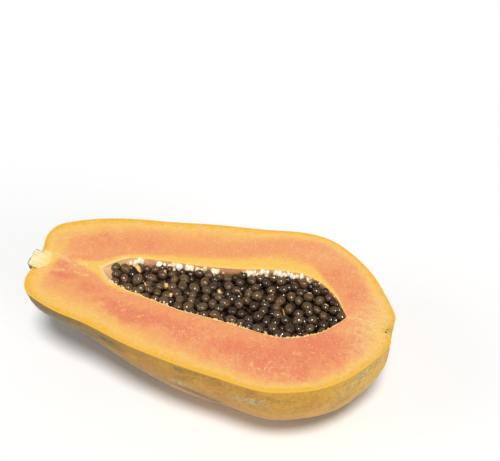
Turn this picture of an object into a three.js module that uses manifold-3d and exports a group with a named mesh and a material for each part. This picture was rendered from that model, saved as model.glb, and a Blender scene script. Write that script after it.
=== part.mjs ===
// Half of a ripe papaya, cut lengthways through its stalk and its blossom end, lying on its rounded back.
//
// The model has three pieces. The fruit is skin and flesh in one grown body, with the seed cavity open in its
// cut face and pale unripe ovules standing on the cavity's far wall. The ripe seeds lie in the cavity as one
// packed bed. The stub of the stalk, halved with the fruit, sits in the stem end.
//
// Units are millimetres. While the pieces are made, X runs from the stem end to the blossom end, Y across the
// fruit, and the cut face is the plane z = 0 with the body below it. The pieces are then moved so that the
// origin is at the middle of their footprint, on the surface that the fruit rests on.
import * as THREE from "three";
import { mergeVertices } from "three/addons/utils/BufferGeometryUtils.js";
import Module from "manifold-3d";

const wasm = await Module();
wasm.setup();

// ---- driving dimensions -------------------------------------------------------------------------------------

// The fruit's outline: place along X, half-width at the cut face, depth below it. It starts and ends in a point.
const FRUIT = [
  [-112.6, 0, 0],
  [-113.6, 8.9, 10.1],
  [-114.8, 20.6, 19.2],
  [-111.0, 30.0, 24.3],
  [-103.0, 35.2, 31.3],
  [-88.0, 41.5, 32.2],
  [-66.0, 46.9, 41.0],
  [-40.0, 53.0, 52.6],
  [-10.0, 58.9, 67.1],
  [20.0, 62.8, 69.2],
  [50.0, 66.3, 71.3],
  [67.0, 62.7, 69.7],
  [82.0, 54.8, 64.8],
  [96.0, 42.4, 55.9],
  [107.0, 27.0, 43.6],
  [114.0, 14.8, 27.8],
  [115.6, 9.3, 18.1],
  [114.0, 3.5, 10.0],
  [110.8, 0, 0],
];
// How far the middle of the fruit lies off the axis, which is its bend: place along X, offset along Y.
const FRUIT_BEND = [
  [-114, -1.9],
  [-103, -1.3],
  [-88, -0.5],
  [-66, 0.5],
  [-40, -1.2],
  [-10, -1.2],
  [20, -0.8],
  [50, 0.5],
  [67, 1.5],
  [82, 0.6],
  [96, 0.2],
  [115, -0.4],
];
const FRUIT_LEAN = -0.055; // how far a point moves along X for each millimetre of Y: it grew a little askew
const FRUIT_SQUARENESS = 2.08; // 2 is a round cross-section, more is squarer
const RIDGES = 5;
const RIDGE_HEIGHT = 0.01; // the faint ridges, as a share of the radius
const REST_DEPTH = 68.8; // the back is flattened where it rests, this far below the cut face

// The seed cavity: place along X, half-width at the cut face, depth, and how far its middle lies off the axis.
const CAVITY = [
  [-70.5, 0, 0, 0],
  [-66.0, 5.6, 5, 0.2],
  [-57.0, 12.2, 11, 1.2],
  [-38.0, 16.0, 17, 0.8],
  [-12.0, 19.6, 22, -0.2],
  [10.0, 22.0, 26, 1.2],
  [32.0, 25.8, 29, 3.2],
  [50.0, 27.3, 30, 3.5],
  [63.0, 23.6, 26, 3.8],
  [75.0, 15.4, 18, 3.2],
  [82.0, 6.6, 8, 2.8],
  [86.5, 0, 0, 2.8],
];
const GAP = 0.35; // between pieces that lie against each other

// Ripe seeds: plump ellipsoids, half sunk in the mass that carries them.
const SEED_RADIUS = 3.0;
const SEED_STRETCH = 1.2;
const SEED_SIZE_SPREAD = 0.3;
const SEED_SPACING = 0.96; // least distance between two seeds, as a share of their radii together
const SEED_TRIES = 3000;
const SEED_LIFT = 1.6; // how unevenly the seeds lie
const BED_NEAR_DEPTH = 2.8; // seed centres below the cut face at the near wall
const BED_SAG = 2.6; // how much deeper they lie in the middle
// Seed centres below the cut face at the far wall: place along X, depth. They are lower where ovules hang.
const BED_FAR = [
  [-70, 4.2],
  [-50, 5.6],
  [-16, 5.8],
  [-2, 3.8],
  [12, 3.8],
  [24, 5.4],
  [48, 5.2],
  [58, 3.4],
  [86, 3.0],
];
const CORE_DROP = 0.9; // the mass lies this far below the seed centres

// Unripe ovules, in clusters along the far wall, each at a place along X.
const OVULE_CLUSTERS = [-52, -36, -28, -20, -12, -2, 19, 28, 36, 44, 53];
const OVULES_IN_CLUSTER = 4;
const CLUSTER_SPREAD = 6.5;
const OVULE_RADIUS = 1.25;
const OVULE_DEPTHS = [1.6, 5.2]; // the clusters hang between these depths below the cut face

// Stalk stub, set in a shallow seat in the stem end.
const STUB = { y: -4.2, radius: 7.6, flare: 0.9, end: -118.0, seat: -108.5, ribs: 9, ribHeight: 0.05 };

const RANDOM_SEED = 20260;

// ---- small tools --------------------------------------------------------------------------------------------

// A repeatable stream of numbers from 0 to 1.
function randomStream(seed) {
  let state = seed >>> 0;
  return () => {
    state = (state + 0x6d2b79f5) >>> 0;
    let t = state;
    t = Math.imul(t ^ (t >>> 15), t | 1);
    t ^= t + Math.imul(t ^ (t >>> 7), t | 61);
    return ((t ^ (t >>> 14)) >>> 0) / 4294967296;
  };
}

// Points at even steps along a smooth curve through rows of three numbers.
function smoothRows(rows, steps) {
  const points = rows.map(([a, b, c]) => new THREE.Vector3(a, b, c));
  return new THREE.CatmullRomCurve3(points, false, "centripetal").getSpacedPoints(steps);
}

// The value in one column of rows sorted along X, read between two rows.
function readColumn(rows, x, column) {
  const next = rows.findIndex((row) => row[0] > x);
  if (next < 0) return rows[rows.length - 1][column];
  if (next === 0) return rows[0][column];
  const [low, high] = [rows[next - 1], rows[next]];
  return low[column] + ((x - low[0]) / (high[0] - low[0])) * (high[column] - low[column]);
}

function solidFrom(geometry) {
  const bare = geometry.clone();
  bare.deleteAttribute("normal");
  bare.deleteAttribute("uv");
  const merged = mergeVertices(bare, 1e-3);
  return new wasm.Manifold(
    new wasm.Mesh({
      numProp: 3,
      vertProperties: new Float32Array(merged.attributes.position.array),
      triVerts: new Uint32Array(merged.index.array),
    }),
  );
}

function geometryFrom(solid) {
  const { vertProperties, triVerts } = solid.getMesh();
  const geometry = new THREE.BufferGeometry();
  geometry.setAttribute("position", new THREE.BufferAttribute(vertProperties, 3));
  geometry.setIndex(new THREE.BufferAttribute(triVerts, 1));
  return geometry;
}

// A closed loft: rings of equal length, closed at each end by one point.
function loft(firstPoint, rings, lastPoint) {
  const around = rings[0].length;
  const points = [firstPoint, ...rings.flat(), lastPoint];
  const last = points.length - 1;
  const index = [];
  const at = (ring, k) => 1 + ring * around + (k % around);
  for (let k = 0; k < around; k++) {
    index.push(0, at(0, k + 1), at(0, k));
    index.push(last, at(rings.length - 1, k), at(rings.length - 1, k + 1));
  }
  for (let r = 0; r + 1 < rings.length; r++) {
    for (let k = 0; k < around; k++) {
      index.push(at(r, k), at(r, k + 1), at(r + 1, k));
      index.push(at(r, k + 1), at(r + 1, k + 1), at(r + 1, k));
    }
  }
  const geometry = new THREE.BufferGeometry();
  geometry.setAttribute("position", new THREE.Float32BufferAttribute(points.flat(), 3));
  geometry.setIndex(index);
  return solidFrom(geometry);
}

function block(lowX, lowY, lowZ, highX, highY, highZ) {
  const box = new THREE.BoxGeometry(highX - lowX, highY - lowY, highZ - lowZ);
  box.translate((lowX + highX) / 2, (lowY + highY) / 2, (lowZ + highZ) / 2);
  return solidFrom(box);
}

function ellipsoid([x, y, z], ball, stretch, [yaw, pitch]) {
  ball.scale(stretch, 1, 1);
  ball.rotateY(pitch);
  ball.rotateZ(yaw);
  ball.translate(x, y, z);
  return solidFrom(ball);
}

const union = (solids) => solids.reduce((whole, next) => whole.add(next));
const biggestBody = (solid) => solid.decompose().sort((a, b) => b.volume() - a.volume())[0];
const aboveCut = block(-200, -200, 0, 200, 200, 200);

// ---- the fruit ----------------------------------------------------------------------------------------------

// Distance from the axis to the skin in the direction turn, where 0 is the near rim and pi the far one.
function sectionRadius(halfWidth, depth, turn) {
  const across = Math.abs(Math.cos(turn)) / halfWidth;
  const down = Math.abs(Math.sin(turn)) / depth;
  return (across ** FRUIT_SQUARENESS + down ** FRUIT_SQUARENESS) ** (-1 / FRUIT_SQUARENESS);
}

function fruitBody() {
  const STEPS = 46;
  const AROUND = 40;
  const stations = smoothRows(FRUIT, STEPS);
  const bend = smoothRows(
    FRUIT_BEND.map(([x, y]) => [x, y, 0]),
    120,
  ).map((s) => [s.x, s.y]);
  const middleAt = (x) => readColumn(bend, x, 1);
  const onMiddle = (x) => [x + FRUIT_LEAN * middleAt(x), middleAt(x), 0];
  const rings = stations.slice(1, -1).map((s, i) => {
    const fade = Math.sin((Math.PI * (i + 1)) / STEPS);
    return Array.from({ length: AROUND }, (_, k) => {
      const turn = (2 * Math.PI * k) / AROUND;
      const ridge = 1 + RIDGE_HEIGHT * fade * Math.cos(RIDGES * (turn - Math.PI / 2));
      const radius = ridge * sectionRadius(s.y, s.z, turn);
      const y = middleAt(s.x) - radius * Math.cos(turn);
      return [s.x + FRUIT_LEAN * y, y, -radius * Math.sin(turn)];
    });
  });
  return loft(onMiddle(stations[0].x), rings, onMiddle(stations[STEPS].x));
}

// ---- the seed cavity ----------------------------------------------------------------------------------------

const CAVITY_START = CAVITY[0][0];
const CAVITY_END = CAVITY[CAVITY.length - 1][0];
const cavityRows = smoothRows(CAVITY, 240).map((s) => [s.x, s.y, s.z]);

function cavityAt(x) {
  return {
    halfWidth: readColumn(cavityRows, x, 1),
    depth: readColumn(cavityRows, x, 2),
    middle: readColumn(CAVITY, x, 3),
  };
}

// The cavity as a whole spindle, drawn in on every side by inset.
function cavitySolid(inset) {
  const STEPS = 34;
  const AROUND = 32;
  const thinnest = 0.2;
  const first = CAVITY_START + 2 * inset;
  const last = CAVITY_END - 2 * inset;
  const rings = [];
  for (let i = 1; i < STEPS; i++) {
    const x = first + ((last - first) * (1 - Math.cos((Math.PI * i) / STEPS))) / 2;
    const c = cavityAt(x);
    const width = Math.max(c.halfWidth - inset, thinnest);
    const depth = Math.max(c.depth - inset, thinnest);
    rings.push(
      Array.from({ length: AROUND }, (_, k) => {
        const turn = (2 * Math.PI * k) / AROUND;
        return [x, c.middle - width * Math.cos(turn), -depth * Math.sin(turn)];
      }),
    );
  }
  return loft([first, CAVITY[0][3], 0], rings, [last, CAVITY[CAVITY.length - 1][3], 0]);
}

// ---- seeds and ovules ---------------------------------------------------------------------------------------

// How far below the cut face the seeds have their centres: least at the walls, most in the middle.
function bedDepth(x, y) {
  const c = cavityAt(x);
  const across = Math.max(-1, Math.min(1, (y - c.middle) / Math.max(c.halfWidth, 1)));
  const wall = BED_NEAR_DEPTH + ((readColumn(BED_FAR, x, 1) - BED_NEAR_DEPTH) * (1 + across)) / 2;
  const room = Math.min(1, c.depth / 16);
  return room * (wall + BED_SAG * (1 - across * across));
}

// Places of the seeds: each is thrown in at random and stays if it lies clear of those before it.
function placeSeeds() {
  const random = randomStream(RANDOM_SEED);
  const endRoom = SEED_RADIUS;
  const seeds = [];
  for (let n = 0; n < SEED_TRIES; n++) {
    const x = CAVITY_START + endRoom + (CAVITY_END - CAVITY_START - 2 * endRoom) * random();
    const c = cavityAt(x);
    const radius = SEED_RADIUS * (1 + SEED_SIZE_SPREAD * (random() - 0.5));
    const reach = Math.max(0, c.halfWidth - 0.75 * radius);
    const y = c.middle + reach * (2 * random() - 1);
    const z = Math.min(SEED_LIFT * (random() - 0.5) - bedDepth(x, y), -radius);
    const turn = [Math.PI * random(), 1.2 * (random() - 0.5)];
    const clear = seeds.every((s) => {
      const least = SEED_SPACING * (s.radius + radius);
      return (s.x - x) ** 2 + (s.y - y) ** 2 > least * least;
    });
    if (clear) seeds.push({ x, y, z, radius, turn });
  }
  return seeds;
}

// The mass under the seeds: a slab whose top follows the seed centres.
function seedCore() {
  const LONG = 24;
  const ACROSS = 9;
  const SIDE = 34;
  const floor = -60;
  const top = [];
  for (let i = 0; i <= LONG; i++) {
    const x = CAVITY_START - 1 + ((CAVITY_END - CAVITY_START + 2) * i) / LONG;
    for (let j = 0; j <= ACROSS; j++) {
      const y = -SIDE + (2 * SIDE * j) / ACROSS;
      top.push([x, y, -bedDepth(x, y) - CORE_DROP]);
    }
  }
  const points = [...top, ...top.map(([x, y]) => [x, y, floor])];
  const under = top.length;
  const row = ACROSS + 1;
  const index = [];
  for (let i = 0; i < LONG; i++) {
    for (let j = 0; j < ACROSS; j++) {
      const a = i * row + j;
      const b = a + row;
      index.push(a, b, b + 1, a, b + 1, a + 1);
      index.push(under + a, under + b + 1, under + b, under + a, under + a + 1, under + b + 1);
    }
  }
  const wall = (a, b) => index.push(a, under + a, under + b, a, under + b, b);
  for (let j = 0; j < ACROSS; j++) {
    wall(j + 1, j);
    wall(LONG * row + j, LONG * row + j + 1);
  }
  for (let i = 0; i < LONG; i++) {
    wall(i * row, (i + 1) * row);
    wall((i + 1) * row + ACROSS, i * row + ACROSS);
  }
  const geometry = new THREE.BufferGeometry();
  geometry.setAttribute("position", new THREE.Float32BufferAttribute(points.flat(), 3));
  geometry.setIndex(index);
  return solidFrom(geometry);
}

// The ovules, grown by extra on every side. Each is rooted in the far wall of the cavity.
function ovules(extra) {
  const random = randomStream(RANDOM_SEED + 1);
  const [shallow, deep] = OVULE_DEPTHS;
  return OVULE_CLUSTERS.flatMap((cluster) =>
    Array.from({ length: OVULES_IN_CLUSTER }, () => {
      const x = cluster + CLUSTER_SPREAD * (random() - 0.5);
      const z = -(shallow + (deep - shallow) * random());
      const radius = OVULE_RADIUS * (0.85 + 0.35 * random());
      const turn = [Math.PI * random(), random()];
      const c = cavityAt(x);
      const y = c.middle + c.halfWidth * Math.sqrt(1 - (z / c.depth) ** 2) - 0.5 * radius;
      return ellipsoid([x, y, z], new THREE.IcosahedronGeometry(radius + extra, 0), 1.25, turn);
    }),
  );
}

// ---- the stalk stub -----------------------------------------------------------------------------------------

// A faintly ribbed drum, widest just behind its broken end, grown by extra on every side.
function stubSolid(extra) {
  const AROUND = 36;
  const widths = [
    [0, STUB.radius * 0.84],
    [0.14, STUB.radius + STUB.flare],
    [0.42, STUB.radius],
    [1, STUB.radius * 0.94],
  ];
  const first = STUB.end - extra;
  const length = STUB.seat + extra - first;
  const rings = widths.map(([share, width]) =>
    Array.from({ length: AROUND }, (_, k) => {
      const turn = (2 * Math.PI * k) / AROUND;
      const radius = width * (1 + STUB.ribHeight * Math.cos(STUB.ribs * turn)) + extra;
      return [first + share * length, STUB.y - radius * Math.cos(turn), -radius * Math.sin(turn)];
    }),
  );
  return loft([first, STUB.y, 0], rings, [first + length, STUB.y, 0]);
}

// ---- putting the pieces together ----------------------------------------------------------------------------

const underRest = block(-200, -200, -200, 200, 200, -REST_DEPTH);
const fruit = union([fruitBody().subtract(cavitySolid(0)), ...ovules(0)])
  .subtract(stubSolid(GAP))
  .subtract(aboveCut)
  .subtract(underRest);
const seedBalls = placeSeeds().map((s) =>
  ellipsoid([s.x, s.y, s.z], new THREE.OctahedronGeometry(s.radius, 1), SEED_STRETCH, s.turn),
);
const seeds = union([seedCore(), ...seedBalls])
  .intersect(cavitySolid(GAP))
  .subtract(union(ovules(GAP)))
  .subtract(aboveCut);
const stub = stubSolid(0).subtract(aboveCut);

// The bounding box of the cut fruit and its stub gives the origin.
const middleX = (fruit.boundingBox().max[0] + stub.boundingBox().min[0]) / 2;
const middleY = (fruit.boundingBox().max[1] + fruit.boundingBox().min[1]) / 2;

const papaya = new THREE.Group();
function addPiece(name, solid, colour, roughness) {
  const moved = solid.translate([-middleX, -middleY, REST_DEPTH]).simplify(0.02);
  const geometry = geometryFrom(biggestBody(solidFrom(geometryFrom(moved))));
  geometry.computeVertexNormals();
  const mesh = new THREE.Mesh(geometry, new THREE.MeshStandardMaterial({ color: colour, roughness }));
  mesh.name = name;
  papaya.add(mesh);
}
addPiece("fruit_half", fruit, 0xf2a562, 0.5);
addPiece("ripe_seeds", seeds, 0x33261d, 0.25);
addPiece("stalk_stub", stub, 0xd8cf9a, 0.7);

export default papaya;
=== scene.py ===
# %% [markdown]
# # Half a ripe papaya
# A papaya is a berry as big as a melon. Its thin skin and its soft flesh grow as one body round a long
# hollow, and the hollow is packed with seeds in slippery coats. This one has been cut lengthways through
# its stalk, and the half lies on its round back with the cut face up. The lesson builds it from the
# outside in: skin, flesh, the pale ovules on the wall of the hollow, the seeds, the torn threads round
# them, and the stub of the stalk.
#
# ## The solid model comes first
# The real sizes live in a solid model, model.glb, made before this script. Loading it gives every later
# step a box to fit in. Each piece made here stands for one of its nodes.

# %% Load the solids
import math
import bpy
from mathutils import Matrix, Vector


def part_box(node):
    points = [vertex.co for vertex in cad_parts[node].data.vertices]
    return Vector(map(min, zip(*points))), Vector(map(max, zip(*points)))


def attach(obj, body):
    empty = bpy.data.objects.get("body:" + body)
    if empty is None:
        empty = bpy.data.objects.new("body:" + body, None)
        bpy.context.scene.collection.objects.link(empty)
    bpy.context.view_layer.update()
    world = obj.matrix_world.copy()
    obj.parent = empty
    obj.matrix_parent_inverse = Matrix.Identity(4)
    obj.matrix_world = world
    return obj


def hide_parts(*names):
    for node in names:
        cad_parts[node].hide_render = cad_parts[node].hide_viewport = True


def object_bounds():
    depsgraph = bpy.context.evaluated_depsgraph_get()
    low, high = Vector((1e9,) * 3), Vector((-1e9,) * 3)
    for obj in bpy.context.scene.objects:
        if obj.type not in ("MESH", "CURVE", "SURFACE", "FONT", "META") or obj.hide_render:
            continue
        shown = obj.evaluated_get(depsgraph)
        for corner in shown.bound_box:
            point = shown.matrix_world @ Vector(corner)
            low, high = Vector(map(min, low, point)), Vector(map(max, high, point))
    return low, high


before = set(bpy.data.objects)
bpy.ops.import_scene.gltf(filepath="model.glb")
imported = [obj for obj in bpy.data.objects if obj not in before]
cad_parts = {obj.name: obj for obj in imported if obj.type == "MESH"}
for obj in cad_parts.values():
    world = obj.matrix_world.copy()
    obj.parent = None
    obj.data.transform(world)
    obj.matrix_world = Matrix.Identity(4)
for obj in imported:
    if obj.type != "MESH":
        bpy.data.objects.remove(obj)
from types import SimpleNamespace
import bmesh
import bpy
import numpy as np
from mathutils import Matrix, Vector, kdtree, noise

CAD_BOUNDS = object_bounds()
FRUIT_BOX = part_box("fruit_half")
STUB_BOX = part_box("stalk_stub")
MM = 0.001  # one millimetre in metres
print("solids:", sorted(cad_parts))
print("size in mm:", [round(v / MM) for v in CAD_BOUNDS[1] - CAD_BOUNDS[0]])

# %% [markdown]
# ## One drawing for every piece
# A fruit has no straight edges to measure from, so all its pieces are drawn from the same two lists: the
# outline of the fruit and the outline of its hollow. They are in millimetres, with X from the stem end to
# the blossom end, Y across, and the cut face at z = 0 with the fruit below it. Lists of one or two dozen
# points, joined by one smooth curve, keep the shape easy to change. A sculpted mesh could look as good,
# but would be hard to adjust.

# %% The outlines, and their place on the table
FRUIT = [  # along X, half-width at the cut face, depth below it
    (-112.6, 0, 0), (-113.6, 8.9, 10.1), (-114.8, 20.6, 19.2), (-111.0, 30.0, 24.3), (-103.0, 35.2, 31.3),
    (-88.0, 41.5, 32.2), (-66.0, 46.9, 41.0), (-40.0, 53.0, 52.6), (-10.0, 58.9, 67.1), (20.0, 62.8, 69.2),
    (50.0, 66.3, 71.3), (67.0, 62.7, 69.7), (82.0, 54.8, 64.8), (96.0, 42.4, 55.9), (107.0, 27.0, 43.6),
    (114.0, 14.8, 27.8), (115.6, 9.3, 18.1), (114.0, 3.5, 10.0), (110.8, 0, 0),
]
FRUIT_BEND = [  # along X, and how far the middle of the fruit lies off the axis
    (-114, -1.9), (-103, -1.3), (-88, -0.5), (-66, 0.5), (-40, -1.2), (-10, -1.2), (20, -0.8), (50, 0.5),
    (67, 1.5), (82, 0.6), (96, 0.2), (115, -0.4),
]
FRUIT_LEAN = -0.055  # how far a ring slants along the fruit for each millimetre across it
FRUIT_SQUARENESS = 2.08  # 2 draws an ellipse, more draws a squarer section
RIDGES, RIDGE_HEIGHT = 5, 0.01  # faint ridges, with their height as a share of the radius
CAVITY = [  # along X, half-width, depth, and how far its middle lies off the axis
    (-70.5, 0, 0, 0), (-66.0, 5.6, 5, 0.2), (-57.0, 12.2, 11, 1.2), (-38.0, 16.0, 17, 0.8),
    (-12.0, 19.6, 22, -0.2), (10.0, 22.0, 26, 1.2), (32.0, 25.8, 29, 3.2), (50.0, 27.3, 30, 3.5),
    (63.0, 23.6, 26, 3.8), (75.0, 15.4, 18, 3.2), (82.0, 6.6, 8, 2.8), (86.5, 0, 0, 2.8),
]
STUB = {  # middle, radius, swelling, outer end and seat in mm; its ribs are counted round a whole stalk
    "y": -4.2, "radius": 7.6, "flare": 0.9, "end": -118.0, "seat": -108.5, "ribs": 9, "rib_height": 0.05,
}

STUB_SIDE = STUB["y"] - (STUB["radius"] + STUB["flare"]) * (1 + STUB["rib_height"])
SHIFT = np.array([STUB_BOX[0].x / MM - STUB["end"], STUB_BOX[0].y / MM - STUB_SIDE, FRUIT_BOX[1].z / MM])


def to_table(points_mm):
    """Drawing millimetres to metres on the table, pressed inside the box of the solids."""
    placed = (np.asarray(points_mm, float) + SHIFT) * MM
    return np.clip(placed, np.array(CAD_BOUNDS[0]), np.array(CAD_BOUNDS[1]))


print("the drawing moves by", SHIFT.round(2), "mm")

# %% [markdown]
# ## A smooth curve through a few points
# A centripetal Catmull-Rom curve passes through every listed point and does not loop or kink, even where
# the points crowd together at the ends of the fruit. The points read from it lie at even steps along it.

# %% Smooth curves
def curve_point(rows, t):
    """The curve through rows at t, from 0 at the first row to 1 at the last."""
    place = t * (len(rows) - 1)
    k = min(int(place), len(rows) - 2)
    weight = place - k
    before = rows[k - 1] if k > 0 else 2 * rows[0] - rows[1]
    after = rows[k + 2] if k + 2 < len(rows) else 2 * rows[-1] - rows[-2]
    p = [before, rows[k], rows[k + 1], after]
    steps = [math.dist(p[i], p[i + 1]) ** 0.5 for i in range(3)]
    leave = (p[1] - p[0]) / steps[0] - (p[2] - p[0]) / (steps[0] + steps[1]) + (p[2] - p[1]) / steps[1]
    arrive = (p[2] - p[1]) / steps[1] - (p[3] - p[1]) / (steps[1] + steps[2]) + (p[3] - p[2]) / steps[2]
    leave, arrive = leave * steps[1], arrive * steps[1]
    cubic = 2 * p[1] - 2 * p[2] + leave + arrive
    square = -3 * p[1] + 3 * p[2] - 2 * leave - arrive
    return p[1] + leave * weight + square * weight**2 + cubic * weight**3


def smooth_rows(rows, steps, checks=200):
    """steps + 1 points at even distances along the curve."""
    rows = [np.array(row[:3], float) for row in rows]
    ts = np.linspace(0, 1, checks + 1)
    points = [curve_point(rows, t) for t in ts]
    length = np.concatenate([[0], np.cumsum([math.dist(a, b) for a, b in zip(points, points[1:])])])
    even = np.interp(np.linspace(0, length[-1], steps + 1), length, ts)
    return np.array([curve_point(rows, t) for t in even])


ALONG = 440  # steps from the stem end to the blossom end on every fine surface
fruit_rows = smooth_rows(FRUIT, steps=ALONG)
bend_rows = smooth_rows([(x, y, 0) for x, y in FRUIT_BEND], steps=120)
cavity_rows = smooth_rows(CAVITY, steps=240)
print("outline of", len(fruit_rows), "places, widest half-width", fruit_rows[:, 1].max().round(1), "mm")

# %% Surfaces of the fruit and of the hollow
SKIN_SHARE = np.array([0.0085, 0.0135, 0.0135])  # the skin's thickness as a share of the fruit's size
TINY = 1e-6  # stands in for a width of zero, which nothing can be divided by


def skin_points(turns, shrink=0.0):
    """A grid of points on the skin: rows run along the fruit, and turns go from 0 at the near rim to pi at
    the far one. With shrink 1 it is the inner side of the skin, and with more it lies deeper."""
    along, turn = np.meshgrid(np.arange(ALONG + 1), turns, indexing="ij")
    x, width, depth = (fruit_rows[along, k] for k in range(3))
    across = np.abs(np.cos(turn)) / np.maximum(width, TINY)
    down = np.abs(np.sin(turn)) / np.maximum(depth, TINY)
    radius = (across**FRUIT_SQUARENESS + down**FRUIT_SQUARENESS) ** (-1 / FRUIT_SQUARENESS)
    fade = np.sin(np.pi * along / ALONG)
    radius = radius * (1 + RIDGE_HEIGHT * fade * np.cos(RIDGES * (turn - np.pi / 2)))
    y = np.interp(x, bend_rows[:, 0], bend_rows[:, 1]) - radius * np.cos(turn)
    points = np.stack([x + FRUIT_LEAN * y, y, -radius * np.sin(turn)], axis=-1)
    return points * (1 - np.asarray(shrink)[..., None] * SKIN_SHARE)


def cavity_at(x):
    """Half-width, depth and middle of the hollow at x."""
    width = np.interp(x, cavity_rows[:, 0], cavity_rows[:, 1])
    depth = np.interp(x, cavity_rows[:, 0], cavity_rows[:, 2])
    middle = np.interp(x, [row[0] for row in CAVITY], [row[3] for row in CAVITY])
    return width, depth, middle


def wave(points, per_mm, seed=0.0):
    """Smooth noise from -1 to 1 at each point, with blobs of about 1 / per_mm millimetres."""
    shift = Vector((seed, 1.7 * seed, -seed))
    return np.array([noise.noise(Vector(p) * per_mm + shift) for p in points])


print("hollow at x = 0: half-width %.1f, depth %.1f, middle %.1f mm" % cavity_at(0.0))

# %% [markdown]
# ## From points to meshes
# Every surface here is a grid: rows of points joined by four-sided faces. Grids give even, predictable
# topology, and a row that shrinks to one point closes an end. One helper welds the shared edges, turns
# the faces outwards, shades them smooth, and stores what the finish needs to know about each point.
# Sculpting or remeshing would need cleaning up by hand.

# %% Mesh helpers
WELD = 2e-6  # metres; points closer than this become one


def grid_faces(rows, columns, start=0, wrap=False):
    """Four-sided faces of a grid whose points are stored row by row."""
    last = columns if wrap else columns - 1
    return [
        (start + i * columns + j, start + i * columns + (j + 1) % columns,
         start + (i + 1) * columns + (j + 1) % columns, start + (i + 1) * columns + j)
        for i in range(rows - 1)
        for j in range(last)
    ]


def close_rings(first, rings, last):
    """Points and faces of a tube of rings, closed by a point at each end."""
    count, sides = rings.shape[:2]
    points = np.concatenate([first, rings.reshape(-1, 3), last])
    end, last_ring = len(points) - 1, 1 + (count - 1) * sides
    faces = [(0, 1 + (j + 1) % sides, 1 + j) for j in range(sides)]
    faces += grid_faces(count, sides, start=1, wrap=True)
    faces += [(end, last_ring + j, last_ring + (j + 1) % sides) for j in range(sides)]
    return points, faces


def add_piece(name, shape, values, finish, node, weld=True, corner=None):
    """A smooth-shaded mesh object in metres that rides on the fruit and stands for a solid. The shape is its
    points in drawing millimetres and its faces, and values are numbers or vectors for each point. Edges that
    turn by more than corner, in degrees, stay crisp."""
    points, faces = shape
    mesh = bpy.data.meshes.new(name)
    mesh.from_pydata([tuple(p) for p in to_table(points)], [], faces)
    for key, data in values.items():
        data = np.asarray(data, np.float32)
        kind, field = ("FLOAT_VECTOR", "vector") if data.ndim == 2 else ("FLOAT", "value")
        mesh.attributes.new(key, kind, "POINT").data.foreach_set(field, data.ravel())
    if weld:
        work = bmesh.new()
        work.from_mesh(mesh)
        bmesh.ops.remove_doubles(work, verts=work.verts, dist=WELD)
        bmesh.ops.recalc_face_normals(work, faces=work.faces)
        work.to_mesh(mesh)
        work.free()
    mesh.shade_smooth()
    if corner:
        mesh.set_sharp_from_angle(angle=math.radians(corner))
    piece = bpy.data.objects.new(name, mesh)
    bpy.context.scene.collection.objects.link(piece)
    mesh.materials.append(finish)
    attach(piece, "root")
    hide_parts(node)
    triangles = sum(len(face.vertices) - 2 for face in mesh.polygons)
    print(name, "has", len(mesh.vertices), "points and", triangles, "triangles")
    return piece


def join_shapes(shapes):
    """Several shapes, each its points and faces, as one."""
    starts = np.cumsum([0] + [len(points) for points, _ in shapes])
    faces = []
    for start, (_, part) in zip(starts, shapes):
        faces += [tuple(int(i + start) for i in face) for face in part]
    return np.concatenate([points for points, _ in shapes]), faces


def spread(values, shapes):
    """One number for each shape, repeated for each of its points."""
    return np.repeat(values, [len(points) for points, _ in shapes])


print("points closer than", WELD / MM, "mm are welded")

# %% [markdown]
# ## A small language for materials
# A procedural material is a graph of nodes. Written out link by link it is long and hard to read, so a
# small class wraps the few nodes that this fruit needs: noise, cells, ramps, blends and bump. Colours are
# given as they look on a screen, and turned to the linear values that the renderer works in.

# %% Material helpers
def screen(red, green, blue):
    """A screen colour from 0 to 255 as the linear RGBA that nodes use."""
    share = np.array([red, green, blue]) / 255
    linear = np.where(share <= 0.04045, share / 12.92, ((share + 0.055) / 1.055) ** 2.4)
    return (*linear.tolist(), 1.0)


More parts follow.
